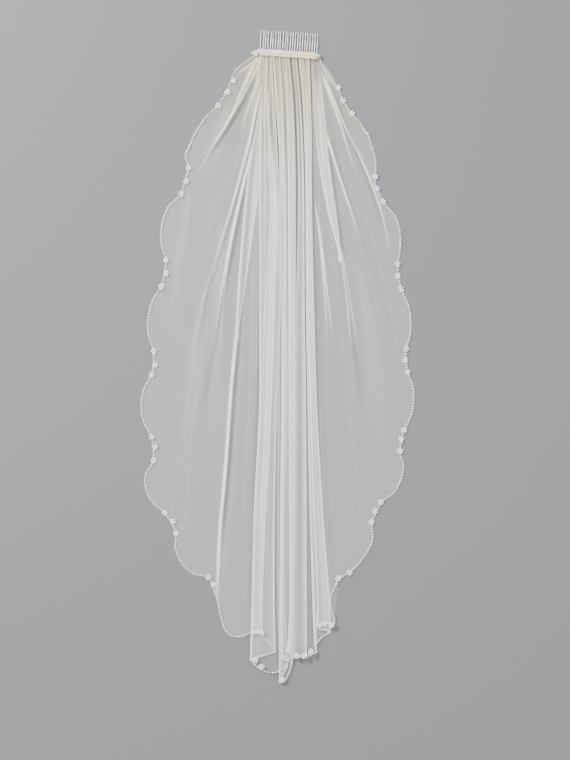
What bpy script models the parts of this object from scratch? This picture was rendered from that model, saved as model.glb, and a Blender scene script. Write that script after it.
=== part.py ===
"""A single-tier tulle bridal veil on a wire comb, laid out flat with its folds combed together.

Lengths in the tables are millimetres and the scene is in metres. X runs across the veil, +Y runs
from the hem to the comb's teeth, and +Z is up. "Down" is the distance from the comb's seam
towards the hem. The surface that the veil lies on is Z = 0.
"""
import math
from collections import namedtuple

import bmesh
import bpy
from mathutils import Vector

MM = 0.001

# Where the finished veil's box is centred, so that the origin is the middle of its underside.
CENTRE_X = 0.24
CENTRE_Y = -0.6

# Tulle, made stiff enough to stand as a wall. The layers of the pile are LAYER_PITCH apart, and
# closer at the band, where the ribbon presses them together. A layer comes down over PILE_EASE
# beside those below it, and over HEM_RUN past their hems.
WALL = 1.0
LAYER_PITCH = 1.6
PITCH_AT_BAND = 1.36
PITCH_RUN = 70.0
EDGE_TURN = 0.75
PILE_EASE = 12.0
HEM_RUN = 70.0
BOW_SHARE = 0.8
SEAM_GAP = 0.3

# How far the cloth goes past the line that the beads are sewn on.
EDGE_MARGIN = 2.0

# The steepest cloth of the spread sides that still gets its whole wall, as a normal's height.
LEAST_UPRIGHT = 0.6

# The band across the comb, which lies a little askew. The tulle is gathered into it over TUCK,
# and lies BAND_LIFT higher there, on the back ribbon.
SEAM_X = 15.5
SEAM_Y = 437.0
BAND_TILT = 0.07
BAND_LENGTH = 90.0
BAND_LIFT = 1.3
LIFT_RUN = 28.0
TUCK = 2.4

# The ribbon's cross-sections across the band: distance past the seam and height. The roll and
# the lip are given by their inner lines.
RIBBON_BACK = ((0.0, 0.0), (9.4, 0.0), (9.4, 1.0), (0.0, 1.0))
ROLL_INSIDE = ((9.0, 2.75), (8.5, 4.8), (7.2, 6.8), (5.2, 8.6), (3.2, 9.3))
ROLL_WALL = 1.2
LIP_INSIDE = ((2.85, 9.3), (1.5, 9.6), (0.2, 9.3))
LIP_WALL = 1.1
LIP_LENGTH = 88.0

# Wire comb. A leg is given by its distance past the seam and its height, and the teeth lean a
# little in pairs, more on the left half than on the right.
TEETH = 24
TOOTH_PITCH = 3.6
TOOTH_ROOT = 4.6
TOOTH_TIP = 37.6
LEG_MIDDLE = ((13.5, 2.4), (22.5, 3.0))
ROOT_HEIGHT = 1.85
TIP_HEIGHT = 0.95
LEAN = 0.45
LEAN_TURN = 2.4
RIGHT_LEAN = 0.4
BEND_ANGLES = (45, 90, 135)
WIRE_RADIUS = 0.55
SPINE_RADIUS = 0.9
SPINE_HALF = 43.5
SPINE_PLACE = 7.0
SPINE_HEIGHT = 3.6

# Bead flowers.
FLOWER_RADIUS = 5.4
FLOWER_HEIGHT = 2.2
PETALS = 6
NOTCH_SHARE = 0.72
PETAL_SHARE = 0.45
DISC_STEP = 45
BAR_HALF_WIDTH = 1.3
BAR_SHARE = 0.6
BAR_LIFT = 0.05

# How far down the veil each row of the tulle lies, as a share of its own length.
ROWS = (0.0, 0.012, 0.035, 0.075, 0.125, 0.19, 0.265, 0.345, 0.43, 0.515, 0.6, 0.685, 0.765,
        0.84, 0.895, 0.935, 0.97, 1.0)

# Folds of the combed centre, in the order in which the cloth runs. Each has its X at some
# distances down, then the point where it meets the hem, and how far the hem of the layer that
# starts at it bows down.
STATIONS = (0, 60, 140, 210, 360, 510, 660, 800)
Fold = namedtuple("Fold", "side at_0 at_60 at_140 at_210 at_360 at_510 at_660 at_800 "
                          "hem_x hem_y bow")
FOLDS = (
    Fold(+1, -14.5, -14.0, -8.0, -0.5, -4.0, -9.0, -17.0, -22.5, -22.5, -403, 0),
    Fold(-1, -21.0, -22.0, -16.5, -10.0, -18.0, -23.5, -30.5, -34.5, -34.5, -404, 6),
    Fold(+1, -8.5, -5.0, -0.5, 2.5, 4.0, -1.5, -4.0, -4.5, -3.0, -433, 0),
    Fold(-1, -16.5, -24.0, -25.5, -25.5, -25.5, -26.0, -33.5, -37.0, -39.5, -444, 15),
    Fold(+1, -0.5, 4.0, 8.0, 11.0, 12.5, 12.0, 11.0, 10.5, 15.0, -453, 0),
    Fold(-1, -6.5, -2.0, 3.0, 4.0, 5.5, 6.0, 4.5, 3.5, 3.0, -477, 6),
    Fold(+1, 8.0, 14.0, 18.5, 20.0, 21.5, 22.0, 21.5, 21.0, 21.5, -449, 0),
    Fold(-1, 2.5, 5.5, 8.0, 9.0, 9.0, 8.0, 6.5, 5.5, 6.0, -442, 2),
    Fold(+1, 17.0, 21.5, 24.5, 26.0, 26.0, 25.0, 24.0, 23.5, 23.0, -442, 0),
    Fold(-1, 11.0, 13.5, 15.5, 16.5, 17.0, 17.5, 17.5, 18.5, 15.0, -431, 2),
    Fold(+1, 27.5, 33.0, 37.5, 39.0, 39.5, 41.5, 42.0, 42.5, 42.5, -441, 0),
    Fold(-1, 21.5, 27.5, 30.0, 31.0, 28.0, 26.5, 25.5, 25.0, 25.0, -440, 3),
    Fold(+1, 37.5, 43.5, 47.0, 48.0, 50.0, 50.5, 51.5, 56.0, 57.5, -434, 0),
    Fold(-1, 31.5, 37.5, 41.0, 42.0, 42.5, 45.0, 48.0, 52.0, 54.5, -424, -3),
    Fold(+1, 46.5, 48.5, 50.0, 50.0, 53.0, 57.5, 66.0, 76.5, 77.5, -405, 0),
    Fold(-1, 40.5, 42.0, 43.5, 43.5, 45.0, 48.5, 53.0, 58.5, 57.5, -394, 2),
)

# Scallops of each spread side, counted from the comb: the cusp that ends each one, and how far
# its rim swells out past the straight line from the cusp before it. All swell away from the
# middle of the oval.
OVAL_MIDDLE_Y = 30.0
SWELL_POWER = 0.8
Cusp = namedtuple("Cusp", "x y swell")
LEFT_CUSPS = (
    Cusp(-30.0, 441, 0), Cusp(-110.0, 346, 0), Cusp(-133.0, 258, 11), Cusp(-163.0, 121, 20),
    Cusp(-179.5, -12, 17), Cusp(-179.5, -134, 19), Cusp(-153.0, -243, 26),
    Cusp(-93.5, -335, 21), Cusp(-36.5, -405, 33),
)
RIGHT_CUSPS = (
    Cusp(61.0, 438, 0), Cusp(123.0, 340, 0), Cusp(147.0, 254, 5), Cusp(176.0, 117, 16),
    Cusp(187.0, -7, 13), Cusp(181.0, -123, 15), Cusp(143.0, -228, 19), Cusp(89.5, -326, 18),
    Cusp(84.0, -391, -3), Cusp(65.5, -401, 2),
)

# Spokes of each spread side: where on the scalloped rim each one ends (2.25 is a quarter of the
# way past the second cusp), its X at quarters of its length, and the height of the crease that
# stands along it, with the shares of its length where the crease rises and has faded.
Spoke = namedtuple("Spoke", "rim at_0 at_25 at_50 at_75 crease rise fade")
LEFT_SPOKES = (
    Spoke(1.0, -29.0, -61.0, -71.0, -85.0, 0, 0, 1),
    Spoke(2.0, -27.5, -50.5, -72.5, -99.5, 0, 0, 1),
    Spoke(2.2, -27.0, -47.0, -74.0, -111.5, 6.0, 0.16, 0.74),
    Spoke(2.65, -26.0, -42.5, -63.5, -109.0, 0, 0, 1),
    Spoke(6.0, -25.0, -53.5, -104.0, -131.0, 5.0, 0.16, 0.66),
    Spoke(6.55, -24.5, -48.0, -85.5, -116.5, 5.0, 0.16, 0.74),
    Spoke(7.05, -24.0, -44.0, -59.0, -73.0, 6.0, 0.14, 0.95),
    Spoke(8.0, -22.5, -27.5, -28.5, -36.0, 0, 0, 1),
)
RIGHT_SPOKES = (
    Spoke(1.0, 61.0, 79.0, 90.0, 102.5, 0, 0, 1),
    Spoke(3.0, 60.0, 88.0, 120.0, 148.0, 5.0, 0.16, 0.84),
    Spoke(4.0, 59.0, 92.0, 133.0, 165.0, 0, 0, 1),
    Spoke(5.0, 57.7, 81.0, 122.5, 153.5, 4.0, 0.16, 0.6),
    Spoke(6.0, 56.3, 75.5, 97.0, 117.5, 5.5, 0.14, 0.8),
    Spoke(7.0, 54.3, 61.5, 73.0, 81.5, 0, 0, 1),
    Spoke(8.0, 52.0, 57.0, 62.5, 70.0, 0, 0, 1),
    Spoke(9.0, 49.5, 53.0, 55.5, 60.0, 0, 0, 1),
)
QUARTERS = (0, 0.25, 0.5, 0.75, 1)
Side = namedtuple("Side", "spokes cusps layer last")
LEFT = Side(LEFT_SPOKES, LEFT_CUSPS, 1, 8.0)
RIGHT = Side(RIGHT_SPOKES, RIGHT_CUSPS, len(FOLDS) + 1, 9.0)
FLARE_RUN = 45.0
FLARE_SHARE = 0.8
CUSP_EASE = 0.15
CREASE_REACH = 9.0
CREASE_EASE = 0.12

# Columns of points on a spread side: so many along each scallop, and one on each crease and one
# on either side of its foot, at least LEAST_STEP apart.
COLUMNS_PER_SCALLOP = 4
FOOT_SHARE = 0.8
MOST_FOOT = 0.2
LEAST_STEP = 0.1

# Spacing of the points across a layer of the combed centre, and where down it its width counts.
POINT_SPACING = 5.5
WIDTH_SHARES = (0.25, 0.6, 1.0)

# Bead flowers: the X and Y of each one, in groups of up to three on either side of a cusp.
LEFT_FLOWERS = (
    ((-64.0, 403.5), (-73.0, 386.0), (-86.5, 366.5)),
    ((-130.0, 275.5), (-133.5, 255.5), (-141.0, 236.5)),
    ((-163.0, 140.0), (-163.0, 120.5), (-170.0, 101.5)),
    ((-181.0, 7.0), (-179.5, -13.5), (-184.0, -28.0)),
    ((-184.0, -119.0), (-179.5, -133.5), (-181.0, -153.0)),
    ((-165.0, -230.0), (-153.0, -243.0), (-148.5, -260.0)),
    ((-101.0, -324.5), (-93.0, -335.5)),
)
RIGHT_FLOWERS = (
    ((89.0, 392.5), (96.0, 373.5), (109.0, 354.5)),
    ((143.0, 262.5), (146.0, 244.5), (155.0, 225.5)),
    ((176.0, 134.5), (176.0, 117.0), (181.0, 98.0)),
    ((188.5, 10.5), (187.0, -7.0), (190.5, -24.0)),
    ((185.5, -109.0), (181.0, -122.0), (179.5, -139.5)),
    ((151.5, -214.5), (143.0, -227.5), (138.0, -243.5)),
    ((105.5, -317.5), (89.5, -325.5)),
)
# On the folded hem: the layer that carries each group, counted from the left spread side.
HEM_FLOWERS = (
    (5, ((-32.5, -444.5), (-23.5, -454.5))),
    (7, ((7.5, -474.0),)),
    (13, ((28.0, -437.5), (39.0, -437.5), (49.0, -432.0))),
    (17, ((61.5, -392.5), (69.5, -391.0), (78.5, -393.5))),
)


def ease(start, end, value):
    """0 before start, 1 after end, and a smooth rise between them."""
    share = min(max((value - start) / (end - start), 0.0), 1.0)
    return share * share * (3 - 2 * share)


def along(stations, values, place):
    """The value at a place along stations, on a smooth curve through the given values."""
    last = len(stations) - 1
    place = min(max(place, stations[0]), stations[last])
    i = 0
    while i < last - 1 and place > stations[i + 1]:
        i += 1

    def slope(j):
        before, after = max(j - 1, 0), min(j + 1, last)
        return (values[after] - values[before]) / (stations[after] - stations[before])

    step = stations[i + 1] - stations[i]
    u = (place - stations[i]) / step
    rise = u * u * (3 - 2 * u)
    return (values[i] + (values[i + 1] - values[i]) * rise
            + step * slope(i) * u * (1 - u) ** 2 - step * slope(i + 1) * u * u * (1 - u))


def seam_down(x):
    """How far down the askew seam of the band lies at X."""
    return (x - SEAM_X) * BAND_TILT


def fold_x(number, down):
    """X of a fold of the combed centre, some way down."""
    fold = FOLDS[number]
    stations = STATIONS + (SEAM_Y - fold.hem_y,)
    return along(stations, fold[1:9] + (fold.hem_x,), down)


def pile_height(layer, x, down):
    """Height of a layer's middle: each layer below it adds its pitch, which goes past its edges."""
    height = WALL / 2 + BAND_LIFT * (1 - ease(0, LIFT_RUN, down - seam_down(x)))
    pitch = PITCH_AT_BAND + (LAYER_PITCH - PITCH_AT_BAND) * ease(0, PITCH_RUN, down)
    for below in range(1, layer):
        right = FOLDS[below - 1]
        if below == 1:
            inside, hem = 1.0, SEAM_Y - right.hem_y
            edges = (fold_x(0, down), fold_x(0, down))
        else:
            left = FOLDS[below - 2]
            edges = (fold_x(below - 2, down), fold_x(below - 1, down))
            inside = ease(-PILE_EASE, 0, x - min(edges))
            hem = SEAM_Y - min(left.hem_y, right.hem_y) + max(left.bow, 0) * BOW_SHARE
        outside = 1 - ease(0, PILE_EASE, x - max(edges) - EDGE_TURN)
        past_hem = min(max((down - hem) / HEM_RUN, 0.0), 1.0)
        height += pitch * inside * outside * (1 - past_hem)
    return height


def rim_line(cusps, rim):
    """A point on the straight lines from cusp to cusp."""
    number = min(max(int(rim), 0), len(cusps) - 2)
    start, end = cusps[number], cusps[number + 1]
    share = rim - number
    return Vector((start.x + (end.x - start.x) * share, start.y + (end.y - start.y) * share))


def rim_point(cusps, rim):
    """A point on the scalloped rim."""
    last = len(cusps) - 1
    run = rim_line(cusps, min(rim + CUSP_EASE, last)) - rim_line(cusps, max(rim - CUSP_EASE, 1))
    out = Vector((-run.y, run.x)).normalized()
    if out.dot(Vector((cusps[int(rim)].x, cusps[int(rim)].y - OVAL_MIDDLE_Y))) < 0:
        out.negate()
    share = rim - int(rim)
    swell = cusps[int(rim) + 1].swell * math.sin(math.pi * share) ** SWELL_POWER if share else 0.0
    return rim_line(cusps, rim) + out * (swell + EDGE_MARGIN)


def spoke_x(side, spoke, down):
    """X of a spoke some way down. Past its end it runs on straight."""
    end = rim_line(side.cusps, spoke.rim)
    start, finish = seam_down(spoke.at_0) - TUCK, SEAM_Y - end.y
    stations = [start + (finish - start) * share for share in QUARTERS]
    slope = (end.x - spoke.at_0) / (finish - start)
    return along(stations, spoke[1:5] + (end.x,), down) + slope * max(down - finish, 0)


def crease_height(side, x, down):
    """Height of the creases of a spread side over the flat cloth."""
    height = 0.0
    for spoke in side.spokes:
        away = abs(x - spoke_x(side, spoke, down)) / CREASE_REACH
        if spoke.crease and away < 1:
            share = down / (SEAM_Y - rim_line(side.cusps, spoke.rim).y)
            stand = ease(spoke.rise - CREASE_EASE, spoke.rise + CREASE_EASE, share)
            stand *= 1 - ease(spoke.fade - CREASE_EASE, spoke.fade, share)
            height = max(height, spoke.crease * stand * math.cos(away * math.pi / 2) ** 2)
    return height


def spread_point(side, rim, share):
    """A point of a spread side: between its two nearest spokes, and flared out to the scallop."""
    after = 1
    while after < len(side.spokes) - 1 and side.spokes[after].rim < rim:
        after += 1
    a, b = side.spokes[after - 1], side.spokes[after]
    end = rim_line(side.cusps, rim)
    finish = SEAM_Y - end.y
    x_a, x_b = spoke_x(side, a, finish), spoke_x(side, b, finish)
    mix = (end.x - x_a) / (x_b - x_a)
    start = seam_down(a.at_0 + (b.at_0 - a.at_0) * mix) - TUCK
    down = start + (finish - start) * share
    x_a, x_b = spoke_x(side, a, down), spoke_x(side, b, down)
    x = x_a + (x_b - x_a) * mix
    run = min(FLARE_RUN, FLARE_SHARE * (finish - start))
    flare = (rim_point(side.cusps, rim) - end) * max(0, 1 - (finish - down) / run) ** 2
    height = crease_height(side, x, down)
    x += flare.x
    down -= flare.y
    return Vector((x, SEAM_Y - down, pile_height(side.layer, x, down) + height))


def layer_edge(number, share):
    """X, distance down and hem of a layer's edge: edge 0 and the last are the spread sides."""
    if number in (0, len(FOLDS) + 1):
        side = LEFT if number == 0 else RIGHT
        point = spread_point(side, side.last, share)
        return point.x, SEAM_Y - point.y, SEAM_Y - rim_point(side.cusps, side.last).y
    fold = FOLDS[number - 1]
    hem = SEAM_Y - fold.hem_y + EDGE_MARGIN
    start = seam_down(fold.at_0) - TUCK
    down = start + (hem - start) * share
    return fold_x(number - 1, down), down, hem


def layer_point(layer, across, share):
    """A point of a layer of the combed centre, a share of the way across and down it."""
    x_a, down_a, _ = layer_edge(layer - 1, share)
    x_b, down_b, _ = layer_edge(layer, share)
    bow = FOLDS[layer - 2].bow if layer > 1 else 0
    x = x_a + (x_b - x_a) * across
    down = down_a + (down_b - down_a) * across + bow * 4 * across * (1 - across) * share ** 4
    return Vector((x, SEAM_Y - down, pile_height(layer, x, down)))


def turn_point(number, share):
    """The rounded outer edge of a fold, between the layer that ends there and the next."""
    below = layer_point(number, 1.0, share)
    above = layer_point(number + 1, 0.0, share)
    middle = (below + above) / 2
    middle.x += FOLDS[number - 1].side * (above.z - below.z) / 2
    return middle


def seam_inset(edge, neighbour):
    """The edge point moved towards its neighbour by the gap that is left at a seam."""
    return edge + (neighbour - edge).normalized() * SEAM_GAP


def centre_row(share):
    """One row of points across the combed centre, folded back and forth."""
    row = []
    for layer in range(1, len(FOLDS) + 2):
        longest = max(
            abs(layer_edge(layer, s)[0] - layer_edge(layer - 1, s)[0]) for s in WIDTH_SHARES
        )
        steps = max(1, round(longest / POINT_SPACING))
        row += [layer_point(layer, i / steps, share) for i in range(steps + 1)]
        if layer <= len(FOLDS):
            row.append(turn_point(layer, share))
    row[-1] = seam_inset(row[-1], row[-2])
    return row


def rim_places(side):
    """The places on the rim where columns end: along each scallop, and on and beside creases."""
    count = round((side.last - 1) * COLUMNS_PER_SCALLOP)
    places = [1 + i / COLUMNS_PER_SCALLOP for i in range(count + 1)]
    for spoke, after in zip(side.spokes[:-1], side.spokes[1:]):
        if spoke.crease:
            spread = abs(after.at_50 - spoke.at_50) / (after.rim - spoke.rim)
            foot = min(CREASE_REACH * FOOT_SHARE / spread, MOST_FOOT)
            places += [spoke.rim - foot, spoke.rim, spoke.rim + foot]
    kept = []
    for place in sorted(places):
        on_crease = any(spoke.crease and spoke.rim == place for spoke in side.spokes)
        if kept and place - kept[-1] < LEAST_STEP and place < side.last:
            if on_crease:
                kept[-1] = place
            continue
        kept.append(place)
    return kept


def spread_row(side, places, share):
    row = [spread_point(side, place, share) for place in places]
    row[-1] = seam_inset(row[-1], row[-2])
    return row


def material(name, colour, roughness, metallic=0.0):
    made = bpy.data.materials.new(name)
    made.use_nodes = True
    shader = made.node_tree.nodes["Principled BSDF"]
    shader.inputs["Base Color"].default_value = (*colour, 1)
    shader.inputs["Roughness"].default_value = roughness
    shader.inputs["Metallic"].default_value = metallic
    return made


def link(name, mesh, finish):
    placed = bpy.data.objects.new(name, mesh)
    bpy.context.scene.collection.objects.link(placed)
    placed.data.materials.append(finish)
    return placed


def placed_metres(point):
    """A point of the tables, in metres from the origin."""
    return Vector((point.x - CENTRE_X, point.y - CENTRE_Y, point.z)) * MM


def mesh_of(name, build, smooth=False):
    """A mesh made by a function that fills a bmesh."""
    bm = bmesh.new()
    build(bm)
    bmesh.ops.recalc_face_normals(bm, faces=bm.faces)
    for face in bm.faces:
        face.smooth = smooth
    mesh = bpy.data.meshes.new(name)
    bm.to_mesh(mesh)
    bm.free()
    return mesh


def sheet_normals(rows):
    """The direction across the wall at each point of a sheet."""
    normals = []
    for i, row in enumerate(rows):
        above, below = rows[max(i - 1, 0)], rows[min(i + 1, len(rows) - 1)]
        line = []
        for j in range(len(row)):
            across = row[min(j + 1, len(row) - 1)] - row[max(j - 1, 0)]
            line.append((below[j] - above[j]).cross(across).normalized())
        normals.append(line)
    return normals


def on_floor(point):
    """The point, or the one over it on the floor where it would be under it."""
    return Vector((point.x, point.y, max(point.z, 0.0)))


def tulle_wall(name, rows, normals, finish):
    """A sheet of tulle as a closed wall, half of it on each side of the given points."""

    def build(bm):
        skins = []
        for side in (1, -1):
            skins.append([
                [bm.verts.new(placed_metres(on_floor(p + n * (side * WALL / 2))))
                 for p, n in zip(*pair)]
                for pair in zip(rows, normals)
            ])
        for skin in skins:
            for upper, lower in zip(skin[:-1], skin[1:]):
                for j in range(len(upper) - 1):
                    bm.faces.new((upper[j], upper[j + 1], lower[j + 1], lower[j]))
        top, under = skins
        borders = (
            (top[0], under[0]), (top[-1], under[-1]),
            ([row[0] for row in top], [row[0] for row in under]),
            ([row[-1] for row in top], [row[-1] for row in under]),
        )
        for a, b in borders:
            for j in range(len(a) - 1):
                bm.faces.new((a[j], a[j + 1], b[j + 1], b[j]))

    return link(name, mesh_of(name, build, smooth=True), finish)


def add_tulle(finish):
    for name, side in (("tulle_left_spread", LEFT), ("tulle_right_spread", RIGHT)):
        places = rim_places(side)
        rows = [spread_row(side, places, share) for share in ROWS]
        upright = [
            [Vector((0, 0, 1 / max(abs(normal.z), LEAST_UPRIGHT))) for normal in line]
            for line in sheet_normals(rows)
        ]
        tulle_wall(name, rows, upright, finish)
    rows = [centre_row(share) for share in ROWS]
    tulle_wall("tulle_centre_pleats", rows, sheet_normals(rows), finish)


BAND_ANGLE = -math.atan(BAND_TILT)
BAND_U = Vector((math.cos(BAND_ANGLE), math.sin(BAND_ANGLE), 0))
BAND_V = Vector((-math.sin(BAND_ANGLE), math.cos(BAND_ANGLE), 0))


def band_point(along_band, to_teeth, height):
    """A point by its place along the band, its distance past the seam and its height."""
    seam = Vector((SEAM_X, SEAM_Y, height))
    return seam + BAND_U * along_band + BAND_V * to_teeth


def band_strip(name, section, length, finish):
    """A ribbon strip along the band, with one cross-section all the way."""
    def build(bm):
        ends = [
            [bm.verts.new(placed_metres(band_point(u, v, z))) for v, z in section]
            for u in (-length / 2, length / 2)
        ]
        bm.faces.new(ends[0])
        bm.faces.new(ends[1])
        for j in range(len(section)):
            k = (j + 1) % len(section)
            bm.faces.new((ends[0][j], ends[0][k], ends[1][k], ends[1][j]))

    return link(name, mesh_of(name, build), finish)


def rolled_section(inner, thickness):
    """A ribbon's cross-section: an inner line of (distance, height) and the same line moved out."""
    outer = []
    for i, (v, z) in enumerate(inner):
        a, b = inner[max(i - 1, 0)], inner[min(i + 1, len(inner) - 1)]
        run = Vector((b[0] - a[0], b[1] - a[1])).normalized()
        outer.append((v + run.y * thickness, z - run.x * thickness))
    return list(inner) + outer[::-1]


def add_binding(finish):
    """The ribbon that is folded over the comb's spine and the gathered edge of the tulle."""
    band_strip("binding_back", RIBBON_BACK, BAND_LENGTH, finish)
    band_strip("binding_front", rolled_section(ROLL_INSIDE, ROLL_WALL), BAND_LENGTH, finish)
    band_strip("binding_lip", rolled_section(LIP_INSIDE, LIP_WALL), LIP_LENGTH, finish)


def comb_route():
    """The comb's one wire, back and forth through its teeth and round its spine."""
    bend = TOOTH_PITCH / 2
    leg = ((TOOTH_ROOT + bend, ROOT_HEIGHT), *LEG_MIDDLE, (TOOTH_TIP - bend, TIP_HEIGHT))
    points = []
    for tooth in range(TEETH):
        place = (tooth - (TEETH - 1) / 2) * TOOTH_PITCH
        lean = LEAN * math.sin(tooth // 2 * LEAN_TURN) * (1 if tooth < TEETH / 2 else RIGHT_LEAN)
        line = []
        for v, z in leg:
            line.append((place + lean * (v - leg[0][0]) / TOOTH_TIP, v, z))
        points += line if tooth % 2 == 0 else line[::-1]
        if tooth == TEETH - 1:
            break
        at_tip = tooth % 2 == 0
        v, z = leg[-1] if at_tip else leg[0]
        way = 1 if at_tip else -1
        shift = lean * (v - leg[0][0]) / TOOTH_TIP
        for angle in BEND_ANGLES:
            turn = math.radians(angle)
            points.append((place + bend + shift - bend * math.cos(turn),
                           v + way * bend * math.sin(turn), z))
    return [placed_metres(band_point(*point)) for point in points]


def wire(name, points, radius, finish):
    curve = bpy.data.curves.new(name, "CURVE")
    curve.dimensions = "3D"
    curve.bevel_depth = radius * MM
    curve.bevel_resolution = 1
    curve.use_fill_caps = True
    spline = curve.splines.new("POLY")
    spline.points.add(len(points) - 1)
    for knot, point in zip(spline.points, points):
        knot.co = (*point, 1)
    return link(name, curve, finish)


def add_comb(finish):
    wire("comb_wire", comb_route(), WIRE_RADIUS, finish)
    ends = [placed_metres(band_point(u, SPINE_PLACE, SPINE_HEIGHT))
            for u in (-SPINE_HALF, SPINE_HALF)]
    wire("comb_spine", ends, SPINE_RADIUS, finish)


def flower_body(bm, centre):
    """A round of petals on a flat back, highest in the middle."""
    count = PETALS * 2
    rise = Vector((0, 0, FLOWER_HEIGHT * PETAL_SHARE))
    low, high = [], []
    for i in range(count):
        reach = FLOWER_RADIUS * (1.0 if i % 2 == 0 else NOTCH_SHARE)
        angle = 2 * math.pi * i / count
        spot = centre + Vector((math.cos(angle), math.sin(angle), 0)) * reach
        low.append(bm.verts.new(placed_metres(spot)))
        high.append(bm.verts.new(placed_metres(spot + rise)))
    peak = bm.verts.new(placed_metres(centre + Vector((0, 0, FLOWER_HEIGHT))))
    bm.faces.new(low)
    for i in range(count):
        k = (i + 1) % count
        bm.faces.new((low[i], low[k], high[k], high[i]))
        bm.faces.new((high[i], high[k], peak))


def bar_body(bm, start, end):
    """The short run of beads between two flowers, as one bar."""
    run = (end - start).normalized()
    side = Vector((-run.y, run.x, 0)) * BAR_HALF_WIDTH
    rise = Vector((0, 0, FLOWER_HEIGHT * BAR_SHARE))
    lift = Vector((0, 0, BAR_LIFT))
    low = [bm.verts.new(placed_metres(p + lift))
           for p in (start + side, end + side, end - side, start - side)]
    high = [bm.verts.new(placed_metres(p + rise))
            for p in (start + side, end + side, end - side, start - side)]
    bm.faces.new(low)
    bm.faces.new(high)
    for i in range(4):
        k = (i + 1) % 4
        bm.faces.new((low[i], low[k], high[k], high[i]))


def joined(body, tool):
    """Adds a Boolean union to a body and hides the tool that it takes."""
    union = body.modifiers.new("union", "BOOLEAN")
    union.operation = "UNION"
    union.object = tool
    tool.hide_render = True
    tool.display_type = "WIRE"


def flower_group(name, centres, finish):
    """One bead flower, or a row of them joined by the beads between."""
    base = max(centre.z for centre in centres) + SEAM_GAP
    spots = [Vector((centre.x, centre.y, base)) for centre in centres]
    body = link(name, mesh_of(name, lambda bm: flower_body(bm, spots[0])), finish)
    for i, (start, end) in enumerate(zip(spots[:-1], spots[1:])):
        flower = mesh_of(f"{name}_flower_{i}", lambda bm, c=end: flower_body(bm, c))
        bar = mesh_of(f"{name}_bar_{i}", lambda bm, a=start, b=end: bar_body(bm, a, b))
        for tool in (bar, flower):
            joined(body, link(tool.name, tool, finish))
    return body


def fold_height(layer, x, down):
    """Height of a layer of the combed centre, at the nearest place that is between its folds."""
    edges = sorted(fold_x(number, down) for number in (layer - 2, min(layer - 1, len(FOLDS) - 1)))
    if layer > len(FOLDS):
        edges[1] = rim_point(RIGHT_CUSPS, RIGHT.last - 1).x
    return pile_height(layer, min(max(x, edges[0]), edges[1]), down)


def flower_spots(places, height_at):
    """The middles of a group of flowers, on the highest of the cloth under each one."""
    spots = []
    for x, y in places:
        under = [height_at(x, SEAM_Y - y)]
        for degrees in range(0, 360, DISC_STEP):
            turn = math.radians(degrees)
            under.append(height_at(x + FLOWER_RADIUS * math.cos(turn),
                                   SEAM_Y - y + FLOWER_RADIUS * math.sin(turn)))
        spots.append(Vector((x, y, max(under) + WALL / 2)))
    return spots


def add_flowers(finish):
    """Bead flowers at the cusps, each lying on the tulle under it."""
    for label, groups, side in (("left", LEFT_FLOWERS, LEFT), ("right", RIGHT_FLOWERS, RIGHT)):
        for number, places in enumerate(groups, 1):
            spots = flower_spots(places, lambda x, down, side=side: (
                pile_height(side.layer, x, down) + crease_height(side, x, down)))
            flower_group(f"flowers_{label}_{number}", spots, finish)
    for number, (layer, places) in enumerate(HEM_FLOWERS, 1):
        spots = flower_spots(places, lambda x, down, layer=layer: fold_height(layer, x, down))
        flower_group(f"flowers_hem_{number}", spots, finish)


def main():
    for stale in list(bpy.data.objects):
        bpy.data.objects.remove(stale, do_unlink=True)
    add_tulle(material("tulle", (0.86, 0.85, 0.80), 0.6))
    add_binding(material("ribbon", (0.90, 0.86, 0.72), 0.5))
    add_comb(material("comb_metal", (0.75, 0.75, 0.78), 0.25, 1.0))
    add_flowers(material("bead", (0.92, 0.92, 0.92), 0.15))


main()
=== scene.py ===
# %% [markdown]
# # A bridal veil, laid out flat
# This lesson dresses a one-tier tulle veil on a wire comb. The real veil is one sheet of net,
# gathered into a ribbon at the comb and edged with beads. Its middle is combed together into
# long folds and its sides are spread out. We load the plain model first, because every piece
# has to sit where that model says.

# %% Load the plain model
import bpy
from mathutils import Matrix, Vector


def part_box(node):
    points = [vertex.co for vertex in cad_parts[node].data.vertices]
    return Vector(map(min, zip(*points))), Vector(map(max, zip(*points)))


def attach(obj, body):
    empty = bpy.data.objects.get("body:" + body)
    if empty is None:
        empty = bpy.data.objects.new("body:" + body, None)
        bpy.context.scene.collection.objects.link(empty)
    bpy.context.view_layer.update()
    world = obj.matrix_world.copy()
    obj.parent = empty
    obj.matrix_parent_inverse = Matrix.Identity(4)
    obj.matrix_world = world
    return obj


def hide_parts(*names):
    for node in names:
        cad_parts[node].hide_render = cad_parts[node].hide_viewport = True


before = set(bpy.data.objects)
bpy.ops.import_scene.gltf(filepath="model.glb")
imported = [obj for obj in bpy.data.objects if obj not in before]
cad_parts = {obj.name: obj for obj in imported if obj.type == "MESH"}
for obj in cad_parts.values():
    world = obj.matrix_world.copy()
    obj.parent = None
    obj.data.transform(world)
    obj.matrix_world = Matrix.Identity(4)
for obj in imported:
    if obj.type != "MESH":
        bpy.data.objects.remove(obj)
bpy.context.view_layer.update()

# %% Blender's modules and the unit of the tables
import math
import random
from collections import namedtuple
from functools import lru_cache

import bmesh
import bpy
from mathutils import Matrix, Vector

MM = 0.001
CENTRE_X, CENTRE_Y = 0.24, -0.6
random.seed(11)


def to_metres(point):
    """A point of the tables, in metres from the origin."""
    return Vector((point.x - CENTRE_X, point.y - CENTRE_Y, point.z)) * MM


print("one table unit is", MM, "m")

# %% [markdown]
# ## Camera, floor and light
# The photograph looks straight down, so the camera does too, from high above with a long lens.
# White net only shows against something darker, so the floor is a pale grey and not white. One
# big soft light from the upper left and a weaker one opposite give the folds a light side and a
# dark side.

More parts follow.
